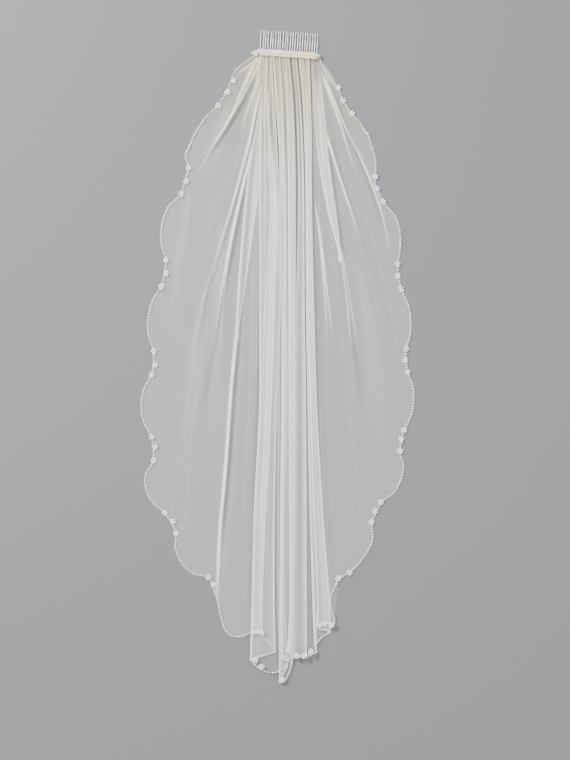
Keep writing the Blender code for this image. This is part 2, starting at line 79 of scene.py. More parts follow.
# %% Camera
VIEW_X, VIEW_Y = 0.01086, -0.0349
VIEW_HEIGHT, CAMERA_UP, SENSOR = 1.114, 2.4, 36.0

camera = bpy.data.objects.new("camera", bpy.data.cameras.new("camera"))
bpy.context.scene.collection.objects.link(camera)
camera.location = (VIEW_X, VIEW_Y, CAMERA_UP)
camera.data.sensor_fit = "VERTICAL"
camera.data.sensor_height = SENSOR
camera.data.lens = SENSOR * CAMERA_UP / VIEW_HEIGHT
bpy.context.scene.camera = camera
print("lens", round(camera.data.lens, 1), "mm")


# %% Helpers for a finish, a mesh and a light
def new_finish(name, roughness):
    """A material, its node tree and its shader."""
    made = bpy.data.materials.new(name)
    made.use_nodes = True
    shader = made.node_tree.nodes["Principled BSDF"]
    shader.inputs["Roughness"].default_value = roughness
    return made, made.node_tree, shader


def mesh_from(shape, name):
    """A mesh from a finished bmesh, which is freed."""
    mesh = bpy.data.meshes.new(name)
    shape.to_mesh(mesh)
    shape.free()
    return mesh


def soft_light(name, place, width, watts):
    """A square soft light that looks at the origin."""
    lamp = bpy.data.objects.new(name, bpy.data.lights.new(name, "AREA"))
    lamp.data.size = width
    lamp.data.energy = watts
    lamp.location = place
    lamp.rotation_euler = (-Vector(place)).to_track_quat("-Z", "Y").to_euler()
    bpy.context.scene.collection.objects.link(lamp)


print("materials, meshes and lights each have a helper")

# %% Floor
FLOOR_REACH = 25.0
FLOOR_GREY = (0.195, 0.195, 0.2, 1)

floor_finish, _, floor_shader = new_finish("pale floor", 0.9)
floor_shader.inputs["Base Color"].default_value = FLOOR_GREY
floor_shape = bmesh.new()
bmesh.ops.create_grid(floor_shape, x_segments=1, y_segments=1, size=FLOOR_REACH)
floor = bpy.data.objects.new("floor", mesh_from(floor_shape, "floor"))
bpy.context.scene.collection.objects.link(floor)
floor.data.materials.append(floor_finish)
print("floor", 2 * FLOOR_REACH, "m wide")

# %% Lights
SKY_COLOUR = (0.9, 0.93, 1.0, 1)
SKY_STRENGTH = 1.05
NET_BOUNCES = 64

soft_light("key light", place=(-1.5, 1.2, 1.9), width=0.6, watts=120)
soft_light("fill light", place=(1.6, -0.9, 2.0), width=1.6, watts=25)
world = bpy.data.worlds.new("studio")
world.use_nodes = True
sky = world.node_tree.nodes["Background"]
sky.inputs["Color"].default_value = SKY_COLOUR
sky.inputs["Strength"].default_value = SKY_STRENGTH
bpy.context.scene.world = world
bpy.context.scene.cycles.transparent_max_bounces = NET_BOUNCES
print("a ray may pass through", NET_BOUNCES, "layers of net")

# %% [markdown]
# ## The veil's own sizes
# These are the sizes that the plain model was built from, in millimetres. "Down" is the
# distance from the comb's seam towards the hem. The net is drawn as one thin surface, through
# the middle of the plain model's wall.

# %% Sizes of the net and of the band
WALL = 1.0
LAYER_PITCH = 1.6
PITCH_AT_BAND = 1.36
PITCH_RUN = 70.0
EDGE_TURN = 0.75
PILE_EASE = 12.0
HEM_RUN = 70.0
EDGE_MARGIN = 2.0
BOW_IN_PILE = 0.8
SEAM_X = 15.5
SEAM_Y = 437.0
BAND_TILT = 0.07
BAND_LENGTH = 90.0
BAND_LIFT = 1.3
LIFT_RUN = 28.0
TUCK = 2.4

# %% Folds of the combed middle, in the order in which the cloth runs
STATIONS = (0, 60, 140, 210, 360, 510, 660, 800)
Fold = namedtuple("Fold", "side at_0 at_60 at_140 at_210 at_360 at_510 at_660 at_800 "
                          "hem_x hem_y bow")
FOLDS = (
    Fold(+1, -14.5, -14.0, -8.0, -0.5, -4.0, -9.0, -17.0, -22.5, -22.5, -403, 0),
    Fold(-1, -21.0, -22.0, -16.5, -10.0, -18.0, -23.5, -30.5, -34.5, -34.5, -404, -5),
    Fold(+1, -8.5, -5.0, -0.5, 2.5, 4.0, -1.5, -4.0, -4.5, -3.0, -433, 0),
    Fold(-1, -16.5, -24.0, -25.5, -25.5, -25.5, -26.0, -33.5, -37.0, -39.5, -444, 15),
    Fold(+1, -0.5, 4.0, 8.0, 11.0, 12.5, 12.0, 11.0, 10.5, 15.0, -453, 0),
    Fold(-1, -6.5, -2.0, 3.0, 4.0, 5.5, 6.0, 4.5, 3.5, 3.0, -477, 10),
    Fold(+1, 8.0, 14.0, 18.5, 20.0, 21.5, 22.0, 21.5, 21.0, 21.5, -449, 0),
    Fold(-1, 2.5, 5.5, 8.0, 9.0, 9.0, 8.0, 6.5, 5.5, 6.0, -442, 2),
    Fold(+1, 17.0, 21.5, 24.5, 26.0, 26.0, 25.0, 24.0, 23.5, 23.0, -442, 0),
    Fold(-1, 11.0, 13.5, 15.5, 16.5, 17.0, 17.5, 17.5, 18.5, 15.0, -431, 2),
    Fold(+1, 27.5, 33.0, 37.5, 39.0, 39.5, 41.5, 42.0, 42.5, 42.5, -441, 0),
    Fold(-1, 21.5, 27.5, 30.0, 31.0, 28.0, 26.5, 25.5, 25.0, 25.0, -440, 3),
    Fold(+1, 37.5, 43.5, 47.0, 48.0, 50.0, 50.5, 51.5, 56.0, 57.5, -434, 0),
    Fold(-1, 31.5, 37.5, 41.0, 42.0, 42.5, 45.0, 48.0, 52.0, 54.5, -424, -3),
    Fold(+1, 46.5, 48.5, 50.0, 50.0, 53.0, 57.5, 66.0, 76.5, 77.5, -405, 0),
    Fold(-1, 40.5, 42.0, 43.5, 43.5, 45.0, 48.5, 53.0, 58.5, 57.5, -394, 2),
)

# %% Scallops and spokes of the two spread sides
Cusp = namedtuple("Cusp", "x y swell")
LEFT_CUSPS = (
    Cusp(-30.0, 441, 0), Cusp(-110.0, 346, 0), Cusp(-133.0, 258, 11), Cusp(-163.0, 121, 20),
    Cusp(-179.5, -12, 17), Cusp(-179.5, -134, 19), Cusp(-153.0, -243, 26),
    Cusp(-93.5, -335, 21), Cusp(-36.5, -405, 33),
)
RIGHT_CUSPS = (
    Cusp(61.0, 438, 0), Cusp(123.0, 340, 0), Cusp(147.0, 254, 5), Cusp(176.0, 117, 16),
    Cusp(187.0, -7, 13), Cusp(181.0, -123, 15), Cusp(143.0, -228, 19), Cusp(89.5, -326, 18),
    Cusp(84.0, -391, -3), Cusp(65.5, -401, 2),
)
Spoke = namedtuple("Spoke", "rim at_0 at_25 at_50 at_75 crease rise fade")
LEFT_SPOKES = (
    Spoke(1.0, -29.0, -61.0, -71.0, -85.0, 0, 0, 1),
    Spoke(2.0, -27.5, -50.5, -72.5, -99.5, 0, 0, 1),
    Spoke(2.2, -27.0, -47.0, -74.0, -111.5, 6.0, 0.16, 0.74),
    Spoke(2.65, -26.0, -42.5, -63.5, -109.0, 0, 0, 1),
    Spoke(6.0, -25.0, -53.5, -104.0, -131.0, 5.0, 0.16, 0.66),
    Spoke(6.55, -24.5, -48.0, -85.5, -116.5, 5.0, 0.16, 0.74),
    Spoke(7.05, -24.0, -44.0, -59.0, -73.0, 6.0, 0.14, 0.95),
    Spoke(8.0, -22.5, -27.5, -28.5, -36.0, 0, 0, 1),
)
RIGHT_SPOKES = (
    Spoke(1.0, 61.0, 79.0, 90.0, 102.5, 0, 0, 1),
    Spoke(3.0, 60.0, 88.0, 120.0, 148.0, 5.0, 0.16, 0.84),
    Spoke(4.0, 59.0, 92.0, 133.0, 165.0, 0, 0, 1),
    Spoke(5.0, 57.7, 81.0, 122.5, 153.5, 4.0, 0.16, 0.6),
    Spoke(6.0, 56.3, 75.5, 97.0, 117.5, 5.5, 0.14, 0.8),
    Spoke(7.0, 54.3, 61.5, 73.0, 81.5, 0, 0, 1),
    Spoke(8.0, 52.0, 57.0, 62.5, 70.0, 0, 0, 1),
    Spoke(9.0, 49.5, 53.0, 55.5, 60.0, 0, 0, 1),
)
QUARTERS = (0, 0.25, 0.5, 0.75, 1)
Side = namedtuple("Side", "spokes cusps layer last")
LEFT = Side(LEFT_SPOKES, LEFT_CUSPS, 1, 8.0)
RIGHT = Side(RIGHT_SPOKES, RIGHT_CUSPS, len(FOLDS) + 1, 9.0)
FLARE_RUN = 45.0
FLARE_SHARE = 0.8
CUSP_EASE = 0.15
SCALLOP_POWER = 0.8
HEART_Y = 30.0
CREASE_REACH = 9.0
CREASE_EASE = 0.12
print(len(FOLDS), "folds and", len(LEFT_CUSPS) + len(RIGHT_CUSPS), "cusps")

# %% Where the bead flowers and the larger beads are
LEFT_FLOWERS = (
    ((-64.0, 403.5), (-73.0, 386.0), (-86.5, 366.5)),
    ((-130.0, 275.5), (-133.5, 255.5), (-141.0, 236.5)),
    ((-163.0, 140.0), (-163.0, 120.5), (-170.0, 101.5)),
    ((-181.0, 7.0), (-179.5, -13.5), (-184.0, -28.0)),
    ((-184.0, -119.0), (-179.5, -133.5), (-181.0, -153.0)),
    ((-165.0, -230.0), (-153.0, -243.0), (-148.5, -260.0)),
    ((-101.0, -324.5), (-93.0, -335.5)),
)
RIGHT_FLOWERS = (
    ((89.0, 392.5), (96.0, 373.5), (109.0, 354.5)),
    ((143.0, 262.5), (146.0, 244.5), (155.0, 225.5)),
    ((176.0, 134.5), (176.0, 117.0), (181.0, 98.0)),
    ((188.5, 10.5), (187.0, -7.0), (190.5, -24.0)),
    ((185.5, -109.0), (181.0, -122.0), (179.5, -139.5)),
    ((151.5, -214.5), (143.0, -227.5), (138.0, -243.5)),
    ((105.5, -317.5), (89.5, -325.5)),
)
HEM_FLOWERS = (
    ((-32.5, -444.5), (-23.5, -454.5)),
    ((7.5, -474.0),),
    ((28.0, -437.5), (39.0, -437.5), (49.0, -432.0)),
    ((61.5, -392.5), (69.5, -391.0), (78.5, -393.5)),
)
LEFT_LARGE = ((-108, 344), (-129, 306), (-155, 208), (-166, 170), (-182, 74), (-189, -181))
RIGHT_LARGE = ((127, 330), (132, 325), (171, 199), (179, 165), (189, 71), (85, -335))
LEFT_DENTS = ((-88, -354), (-85, -370), (-81, -387), (-76, -402), (-67, -410), (-50, -411),
              (-40, -406))

# %% [markdown]
# ## How the net lies
# Every point of the cloth comes from a rule: a fold is a smooth line down the veil, a layer
# runs from one fold to the next, and each layer lies on those under it. The spread sides hang
# on spokes that fan out from the band and end on the scalloped edge.


# %% Smooth lines through a few stations
def ease(start, end, value):
    """0 before start, 1 after end, and a smooth rise between them."""
    share = min(max((value - start) / (end - start), 0.0), 1.0)
    return share * share * (3 - 2 * share)


def along(stations, values, place):
    """The value at a place along stations, on a smooth curve through the given values."""
    last = len(stations) - 1
    place = min(max(place, stations[0]), stations[last])
    i = 0
    while i < last - 1 and place > stations[i + 1]:
        i += 1

    def slope(j):
        before, after = max(j - 1, 0), min(j + 1, last)
        return (values[after] - values[before]) / (stations[after] - stations[before])

    step = stations[i + 1] - stations[i]
    u = (place - stations[i]) / step
    rise = u * u * (3 - 2 * u)
    return (values[i] + (values[i + 1] - values[i]) * rise
            + step * slope(i) * u * (1 - u) ** 2 - step * slope(i + 1) * u * u * (1 - u))


def seam_down(x):
    """How far down the askew seam of the band lies at X."""
    return (x - SEAM_X) * BAND_TILT


def fold_x(number, down):
    """X of a fold of the combed middle, some way down."""
    fold = FOLDS[number]
    stations = STATIONS + (SEAM_Y - fold.hem_y,)
    return along(stations, fold[1:9] + (fold.hem_x,), down)


# %% Height of a layer in the pile
@lru_cache(maxsize=None)
def fold_places(down):
    """X of every fold at a whole number of millimetres down."""
    return [fold_x(number, down) for number in range(len(FOLDS))]


def pile_height(layer, x, down):
    """Height of a layer's middle: each layer below it adds its pitch, which goes past its edges."""
    height = WALL / 2 + BAND_LIFT * (1 - ease(0, LIFT_RUN, down - seam_down(x)))
    pitch = PITCH_AT_BAND + (LAYER_PITCH - PITCH_AT_BAND) * ease(0, PITCH_RUN, down)
    folds = fold_places(round(down))
    for below in range(1, layer):
        right = FOLDS[below - 1]
        if below == 1:
            inside, hem = 1.0, SEAM_Y - right.hem_y
            edges = (folds[0], folds[0])
        else:
            left = FOLDS[below - 2]
            edges = (folds[below - 2], folds[below - 1])
            inside = ease(-PILE_EASE, 0, x - min(edges))
            hem = SEAM_Y - min(left.hem_y, right.hem_y) + max(left.bow, 0) * BOW_IN_PILE
        outside = 1 - ease(0, PILE_EASE, x - max(edges) - EDGE_TURN)
        past_hem = min(max((down - hem) / HEM_RUN, 0.0), 1.0)
        height += pitch * inside * outside * (1 - past_hem)
    return height


# %% Points of a spread side
def rim_line(cusps, rim):
    """A point on the straight lines from cusp to cusp."""
    number = min(max(int(rim), 0), len(cusps) - 2)
    start, end = cusps[number], cusps[number + 1]
    share = rim - number
    return Vector((start.x + (end.x - start.x) * share, start.y + (end.y - start.y) * share))


def rim_point(cusps, rim, margin=EDGE_MARGIN):
    """A point on the scalloped rim, so far outside the line that the beads are sewn on."""
    last = len(cusps) - 1
    run = rim_line(cusps, min(rim + CUSP_EASE, last)) - rim_line(cusps, max(rim - CUSP_EASE, 1))
    out = Vector((-run.y, run.x)).normalized()
    if out.dot(Vector((cusps[int(rim)].x, cusps[int(rim)].y - HEART_Y))) < 0:
        out.negate()
    share = rim - int(rim)
    swell = 0.0
    if share:
        swell = cusps[int(rim) + 1].swell * math.sin(math.pi * share) ** SCALLOP_POWER
    return rim_line(cusps, rim) + out * (swell + margin)


RIM_STEPS = 24
PULL_REACH = 0.2
LARGE_REACH = 0.14


def nearest_rim(cusps, spot):
    """The place on the rim that is nearest to a spot, and the way from there to the spot."""
    count = (len(cusps) - 1) * RIM_STEPS
    rims = [1 + i / RIM_STEPS for i in range(count - RIM_STEPS)]
    rim = min(rims, key=lambda place: (rim_point(cusps, place, 0.0) - Vector(spot)).length)
    return rim, Vector(spot) - rim_point(cusps, rim, 0.0)


def rim_pulls(cusps, groups, large, dents=()):
    """How far the sewn edge leaves the even rim: at its flowers, larger beads and dents."""
    marks = []
    for group in groups[1:]:
        spots = [nearest_rim(cusps, spot) for spot in group]
        marks += [(spots[0][0] - PULL_REACH, Vector((0, 0)))]
        marks += [spot for i, spot in enumerate(spots) if i == 0 or spot[0] > spots[i - 1][0]]
        marks += [(spots[-1][0] + PULL_REACH, Vector((0, 0)))]
    for spot in large:
        rim, pull = nearest_rim(cusps, spot)
        if all(abs(rim - mark[0]) > LARGE_REACH / 2 for mark in marks):
            marks.append((rim, pull))
    spots = [nearest_rim(cusps, spot) for spot in dents]
    marks = [mark for mark in marks if mark[1].length
             or all(abs(mark[0] - spot[0]) > LARGE_REACH for spot in spots)]
    marks += spots
    marks.sort(key=lambda mark: mark[0])
    return ([mark[0] for mark in marks], [mark[1].x for mark in marks],
            [mark[1].y for mark in marks])


PULLS = {
    LEFT_CUSPS: rim_pulls(LEFT_CUSPS, LEFT_FLOWERS, LEFT_LARGE, LEFT_DENTS),
    RIGHT_CUSPS: rim_pulls(RIGHT_CUSPS, RIGHT_FLOWERS, RIGHT_LARGE),
}


@lru_cache(maxsize=None)
def sewn_edge(cusps, rim, margin=EDGE_MARGIN):
    """A point on the edge as it is sewn: the rim, pulled to its flowers and larger beads."""
    stations, pull_x, pull_y = PULLS[cusps]
    pull = Vector((along(stations, pull_x, rim), along(stations, pull_y, rim)))
    return rim_point(cusps, rim, margin) + pull


def spoke_x(side, spoke, down):
    """X of a spoke some way down. Past its end it runs on straight."""
    end = rim_line(side.cusps, spoke.rim)
    start, finish = seam_down(spoke.at_0) - TUCK, SEAM_Y - end.y
    stations = [start + (finish - start) * share for share in QUARTERS]
    slope = (end.x - spoke.at_0) / (finish - start)
    return along(stations, spoke[1:5] + (end.x,), down) + slope * max(down - finish, 0)


def crease_height(side, x, down):
    """Height of the creases of a spread side over the flat cloth."""
    height = 0.0
    for spoke in side.spokes:
        if not spoke.crease:
            continue
        away = abs(x - spoke_x(side, spoke, down)) / CREASE_REACH
        if away < 1:
            share = down / (SEAM_Y - rim_line(side.cusps, spoke.rim).y)
            stand = ease(spoke.rise - CREASE_EASE, spoke.rise + CREASE_EASE, share)
            stand *= 1 - ease(spoke.fade - CREASE_EASE, spoke.fade, share)
            height = max(height, spoke.crease * stand * math.cos(away * math.pi / 2) ** 2)
    return height


def spread_point(side, rim, share):
    """A point of a spread side: between its two nearest spokes, and flared out to the scallop."""
    after = 1
    while after < len(side.spokes) - 1 and side.spokes[after].rim < rim:
        after += 1
    a, b = side.spokes[after - 1], side.spokes[after]
    end = rim_line(side.cusps, rim)
    finish = SEAM_Y - end.y
    x_a, x_b = spoke_x(side, a, finish), spoke_x(side, b, finish)
    mix = (end.x - x_a) / (x_b - x_a)
    start = seam_down(a.at_0 + (b.at_0 - a.at_0) * mix) - TUCK
    down = start + (finish - start) * share
    x_a, x_b = spoke_x(side, a, down), spoke_x(side, b, down)
    x = x_a + (x_b - x_a) * mix
    run = min(FLARE_RUN, FLARE_SHARE * (finish - start))
    flare = (sewn_edge(side.cusps, rim) - end) * max(0, 1 - (finish - down) / run) ** 2
    height = crease_height(side, x, down)
    x += flare.x
    down -= flare.y
    return Vector((x, SEAM_Y - down, pile_height(side.layer, x, down) + height))


# %% Points of the combed middle
BOW_POWER = 4


def layer_edge(number, share):
    """X and distance down of a layer's edge. Edge 0 and the last are the spread sides."""
    if number in (0, len(FOLDS) + 1):
        side = LEFT if number == 0 else RIGHT
        point = spread_point(side, side.last, share)
        return point.x, SEAM_Y - point.y
    fold = FOLDS[number - 1]
    hem = SEAM_Y - fold.hem_y + EDGE_MARGIN
    start = seam_down(fold.at_0) - TUCK
    down = start + (hem - start) * share
    return fold_x(number - 1, down), down


def layer_point(layer, across, share, edges):
    """A point of a layer of the combed middle, a share of the way across and down it."""
    x_a, down_a = edges[layer - 1]
    x_b, down_b = edges[layer]
    bow = FOLDS[layer - 2].bow if layer > 1 else 0
    x = x_a + (x_b - x_a) * across
    down = down_a + (down_b - down_a) * across
    down += bow * 4 * across * (1 - across) * share ** BOW_POWER
    return Vector((x, SEAM_Y - down, pile_height(layer, x, down)))


print("a point half way down the left side:", tuple(spread_point(LEFT, 5.0, 0.5)))

# %% [markdown]
# ## Where the net is thicker
# A single thickness of tulle is hardly there. It shows where it is doubled, at a tuck, along a
# fold that is seen edge on, and where it is gathered at the band. So each point carries a
# number, `plies`: how many thicknesses of net lie together there. The finish turns it into how
# much shows. Small tucks are placed as short strips with a bright line down each side.

# %% Small tucks of the spread sides
Tuck = namedtuple("Tuck", "start end x_0 x_1 x_2 x_3 x_4 w_0 w_1 w_2 w_3 w_4 plies line fade")
LEFT_TUCKS = (
    Tuck(0, 24, -31, -36, -44, -52, -59, 3, 5, 5, 4, 2, 0.9, 1.2, 1),
    Tuck(9, 31, -35, -37.5, -40, -43, -46, 1, 1, 1, 1, 1, 0.6, 0.8, 1),
    Tuck(1, 172, -28.5, -50.5, -69, -94.5, -119, 4.4, 8, 1.8, 1.4, 1.2, 1.1, 2.4, 0.75),
    Tuck(23, 126, -24, -35, -44.5, -52.5, -56.5, 2, 2, 2, 3, 5, 0.4, 0.7, 0.6),
    Tuck(39, 381, -24, -43, -65, -91, -115, 1.2, 1.5, 2, 3, 9, 1.0, 2.2, 0.7),
    Tuck(126, 443, -35, -55, -72.5, -85, -96, 1, 1.5, 2.5, 5, 11, 0.9, 2.2, 0.6),
    Tuck(63, 397, -24, -38, -48, -55, -59.5, 7, 16.5, 14.5, 10, 2, 1.8, 1.9, 1.5),
    Tuck(390, 790, -59, -69, -76, -85, -90, 2, 1.8, 1.8, 2, 2, 2.2, 2.4, 1.1),
    Tuck(70, 190, -76, -92, -103, -110, -114, 10, 18, 24, 26, 20, 0.4, 0, 0.6),
    Tuck(330, 640, -106, -124, -136, -143, -148, 8, 16, 20, 22, 20, 0.35, 0, 0.6),
    Tuck(240, 620, -86, -92, -97, -100, -102, 6, 12, 16, 18, 16, 0.3, 0, 0.6),
    Tuck(190, 420, -134, -143, -152, -158, -162, 10, 12, 12, 14, 16, 0.3, 0, 0.7),
)
RIGHT_TUCKS = (
    Tuck(28, 286, 53, 55, 62, 74, 90.5, 9, 14, 13.5, 10.5, 1.6, 1.5, 1.7, 1.5),
    Tuck(280, 430, 91, 97, 101.5, 105, 108, 2.5, 4, 5, 7, 9, 1.4, 1.7, 0.6),
    Tuck(110, 272, 70, 82.5, 95.5, 109, 122, 1.5, 1.5, 1.5, 2, 5, 0.8, 1.8, 0.7),
    Tuck(25, 175, 65, 78, 92, 103.5, 115, 1.2, 1.2, 1.2, 1.5, 2, 0.5, 1.2, 0.6),
    Tuck(31, 297, 69, 96.5, 128.5, 152.5, 166.5, 1.6, 1.8, 1.6, 1.5, 1.5, 0.8, 2.2, 0.6),
    Tuck(218, 430, 55, 62.5, 67.5, 71, 74, 1.5, 2, 3, 6, 10, 1.0, 1.9, 0.5),
    Tuck(300, 640, 112, 124, 132, 138, 140, 10, 18, 22, 24, 22, 0.25, 0, 0.6),
    Tuck(8, 40, 64, 69, 73, 78, 83, 5, 8, 9, 8, 4, 0.9, 0.8, 1.2),
)
TUCK_SOFT = 0.9
TUCK_PLIES = 2.6
TUCK_OVERRUN = 0.05
TUCK_RISE = (-0.04, 0.10)
TUCK_FADE = 0.35
TUCK_END = 1.02
PLAIN_SOFT = 0.35
LINE_WIDTH = 0.85
LINE_PLIES = 10.0
LINE_REACH = 3


def tuck_plies(tucks, x, down):
    """Extra thicknesses of net at a point, from the tucks that pass there."""
    extra = 0.0
    for tuck in tucks:
        span = tuck.end - tuck.start
        share = (down - tuck.start) / span
        if not -TUCK_OVERRUN < share < 1 + TUCK_OVERRUN:
            continue
        left = along(QUARTERS, tuck[2:7], share)
        width = along(QUARTERS, tuck[7:12], share)
        strong = ease(*TUCK_RISE, share)
        strong *= 1 - ease(tuck.fade - TUCK_FADE, max(tuck.fade, TUCK_END), share)
        soft = TUCK_SOFT if tuck.line else width * PLAIN_SOFT
        inside = ease(-soft, soft, x - left) * (1 - ease(-soft, soft, x - left - width))
        extra += tuck.plies * TUCK_PLIES * inside * strong
        for edge in (left, left + width):
            away = (x - edge) / LINE_WIDTH
            if abs(away) < LINE_REACH:
                extra += tuck.line * LINE_PLIES * math.exp(-away * away) * strong
    return extra


# %% Gathers at the band and fine streaks down the folds
GATHER_RUN = (-20, 50)
GATHER_POWER = 1.5
GATHER_PLIES = 0.5


def gather_plies(down):
    """Extra thicknesses near the band, where the whole width is drawn together."""
    return GATHER_PLIES * (1 - ease(*GATHER_RUN, down)) ** GATHER_POWER


StreakKind = namedtuple("StreakKind", "count drift reach widths plies")
BAND_FAN = StreakKind(18, 0.1, 0.34, (0.6, 1.2), (3.0, 16.0))
LOOSE_FAN = StreakKind(8, 0.1, 0.3, (0.8, 1.6), (1.0, 5.0))
BROAD_FAN = StreakKind(16, 0.1, 0.9, (1.5, 6.0), (0.2, 0.7))
LONG_LINES = StreakKind(4, 0.25, 1.0, (0.7, 1.4), (0.5, 5.0))
BAND_LINES = StreakKind(3, 0.3, 0.32, (0.45, 0.8), (6.0, 30.0))
Streak = namedtuple("Streak", "place drift start end width plies")
STREAK_START = -0.1
STREAK_LENGTHS = (0.3, 1.0)
STREAK_REACH = 2.5
STREAK_RISE = 0.12
STREAK_FADE = 0.2


def streaks_of(kind, places):
    """Uneven fine streaks, each with its place across the cloth and its reach down it."""
    made = []
    for _ in range(kind.count):
        start = random.uniform(STREAK_START, kind.reach / 2)
        made.append(Streak(random.uniform(*places), random.uniform(-kind.drift, kind.drift), start,
                           start + random.uniform(*STREAK_LENGTHS) * kind.reach,
                           random.uniform(*kind.widths), random.uniform(*kind.plies)))
    return made


def streak_plies(streaks, place, share, span):
    """Extra thicknesses from the streaks, where the cloth is span millimetres per unit wide."""
    extra = 0.0
    for streak in streaks:
        away = (place - streak.place - streak.drift * share) * span / streak.width
        if abs(away) < STREAK_REACH and streak.start < share < streak.end:
            reach = ease(streak.start, streak.start + STREAK_RISE, share)
            reach *= 1 - ease(streak.end - STREAK_FADE, streak.end, share)
            extra += streak.plies * reach * math.exp(-away * away)
    return extra


print(len(LEFT_TUCKS) + len(RIGHT_TUCKS), "tucks")

# %% [markdown]
# ## The tulle's finish
# Tulle is a hexagonal net of fine threads. The holes let nearly all light through and the
# threads about half. The pattern follows the piece's own flat map, `cut`, so it turns with
# each fold. What passes one thickness is raised to the power `plies`, which is how several
# thicknesses of net really add up.


# %% Helpers for node trees
def node(tree, kind, **settings):
    """A new node with its settings."""
    made = tree.nodes.new(kind)
    for name, value in settings.items():
        setattr(made, name, value)
    return made


def math_node(tree, operation, first, second):
    """The result of a sum on two numbers or sockets."""
    made = node(tree, "ShaderNodeMath", operation=operation)
    for socket, value in zip(made.inputs, (first, second)):
        if isinstance(value, float):
            socket.default_value = value
        else:
            tree.links.new(value, socket)
    return made.outputs[0]


# A mix node has sockets of the same name for each kind of value, so the colours go by number.
FIRST_COLOUR, SECOND_COLOUR, MIXED_COLOUR = 6, 7, 2


def colour_mix(tree, factor, first, second):
    """A tone between two colours, by a factor."""
    made = node(tree, "ShaderNodeMix", data_type="RGBA")
    tree.links.new(factor, made.inputs["Factor"])
    made.inputs[FIRST_COLOUR].default_value = (*first, 1)
    made.inputs[SECOND_COLOUR].default_value = (*second, 1)
    return made.outputs[MIXED_COLOUR]


def add_bump(tree, shader, height, strength, distance):
    """Small relief on a finish, from a pattern's own value."""
    bump = node(tree, "ShaderNodeBump")
    bump.inputs["Strength"].default_value = strength
    bump.inputs["Distance"].default_value = distance
    tree.links.new(height, bump.inputs["Height"])
    tree.links.new(bump.outputs[0], shader.inputs["Normal"])


def cloudy_finish(name, roughness, scale, first, second):
    """A finish whose colour drifts between two tones, with its tree, shader and coordinates."""
    made, tree, shader = new_finish(name, roughness)
    places = node(tree, "ShaderNodeTexCoord")
    cloud = node(tree, "ShaderNodeTexNoise")
    cloud.inputs["Scale"].default_value = scale
    tree.links.new(places.outputs["Object"], cloud.inputs["Vector"])
    tone = colour_mix(tree, cloud.outputs["Fac"], first, second)
    tree.links.new(tone, shader.inputs["Base Color"])
    return made, tree, shader, places


print("colour sockets of a mix node:", FIRST_COLOUR, SECOND_COLOUR, MIXED_COLOUR)

# %% Tulle
NET_CELL = 0.0013
NET_UNEVEN = 0.25
THREAD_EDGE, HOLE_EDGE = 0.05, 0.16
HOLE_CLEAR, THREAD_CLEAR = 0.94, 0.70
COOL_WHITE, WARM_CREAM = (0.95, 0.955, 0.94), (0.95, 0.85, 0.61)


def tulle_finish():
    """See-through net, which shows more where more plies lie together."""
    made, tree, shader = new_finish("ivory tulle", 0.55)
    cut = node(tree, "ShaderNodeUVMap", uv_map="cut")
    net = node(tree, "ShaderNodeTexVoronoi", feature="DISTANCE_TO_EDGE")
    net.inputs["Scale"].default_value = 1 / NET_CELL
    net.inputs["Randomness"].default_value = NET_UNEVEN
    tree.links.new(cut.outputs[0], net.inputs["Vector"])
    thread = node(tree, "ShaderNodeMapRange")
    thread.inputs["From Min"].default_value = THREAD_EDGE
    thread.inputs["From Max"].default_value = HOLE_EDGE
    thread.inputs["To Min"].default_value = THREAD_CLEAR
    thread.inputs["To Max"].default_value = HOLE_CLEAR
    tree.links.new(net.outputs["Distance"], thread.inputs["Value"])
    plies = node(tree, "ShaderNodeAttribute", attribute_name="plies")
    passed = math_node(tree, "POWER", thread.outputs[0], plies.outputs["Fac"])
    tree.links.new(math_node(tree, "SUBTRACT", 1.0, passed), shader.inputs["Alpha"])
    warm = node(tree, "ShaderNodeAttribute", attribute_name="warm")
    tone = colour_mix(tree, warm.outputs["Fac"], COOL_WHITE, WARM_CREAM)
    tree.links.new(tone, shader.inputs["Base Color"])
    add_bump(tree, shader, net.outputs["Distance"], strength=0.25, distance=0.0002)
    shader.inputs["Sheen Weight"].default_value = 0.3
    return made


TULLE = tulle_finish()
print("net cell", NET_CELL, "m")

# %% [markdown]
# ## The three stretches of net
# Each stretch starts as a flat grid, whose points are then moved to where the rules say the
# cloth lies. The grid's own columns and rows become the threads that run across and down it.
# The flat map is as large as the cut that the stretch shows.

# %% A finished mesh becomes a piece
def add_piece(name, mesh, finish):
    """A piece with its finish, on the veil's only body."""
    piece = bpy.data.objects.new(name, mesh)
    bpy.context.scene.collection.objects.link(piece)
    piece.data.materials.append(finish)
    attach(piece, "root")
    return piece


print("every piece rides on root")

# %% From a flat grid to a laid cloth
COARSE = 1
WARM_RUN = (-30, 260)


def laid_cloth(name, rows, lie):
    """A grid as wide as its rows, moved to the points that lie gives, with plies and a flat map."""
    count = len(rows[0])
    shape = bmesh.new()
    flat_map = shape.loops.layers.uv.new("cut")
    plies = shape.verts.layers.float.new("plies")
    warm = shape.verts.layers.float.new("warm")
    bmesh.ops.create_grid(shape, x_segments=count - 1, y_segments=len(rows) - 1, size=0.5)
    shape.verts.ensure_lookup_table()
    flat = {}
    for vert in shape.verts:
        i = round((vert.co.x + 0.5) * (count - 1))
        j = round((0.5 - vert.co.y) * (len(rows) - 1))
        point, thick, cut = lie(rows[j][i])
        vert.co = to_metres(point)
        vert[plies] = thick
        vert[warm] = 1 - ease(*WARM_RUN, SEAM_Y - point.y)
        flat[vert.index] = cut
    for face in shape.faces:
        face.smooth = True
        for loop in face.loops:
            loop[flat_map].uv = flat[loop.vert.index]
    area = sum(face.calc_area() for face in shape.faces)
    mesh = mesh_from(shape, name)
    piece = add_piece(name, mesh, TULLE)
    return piece


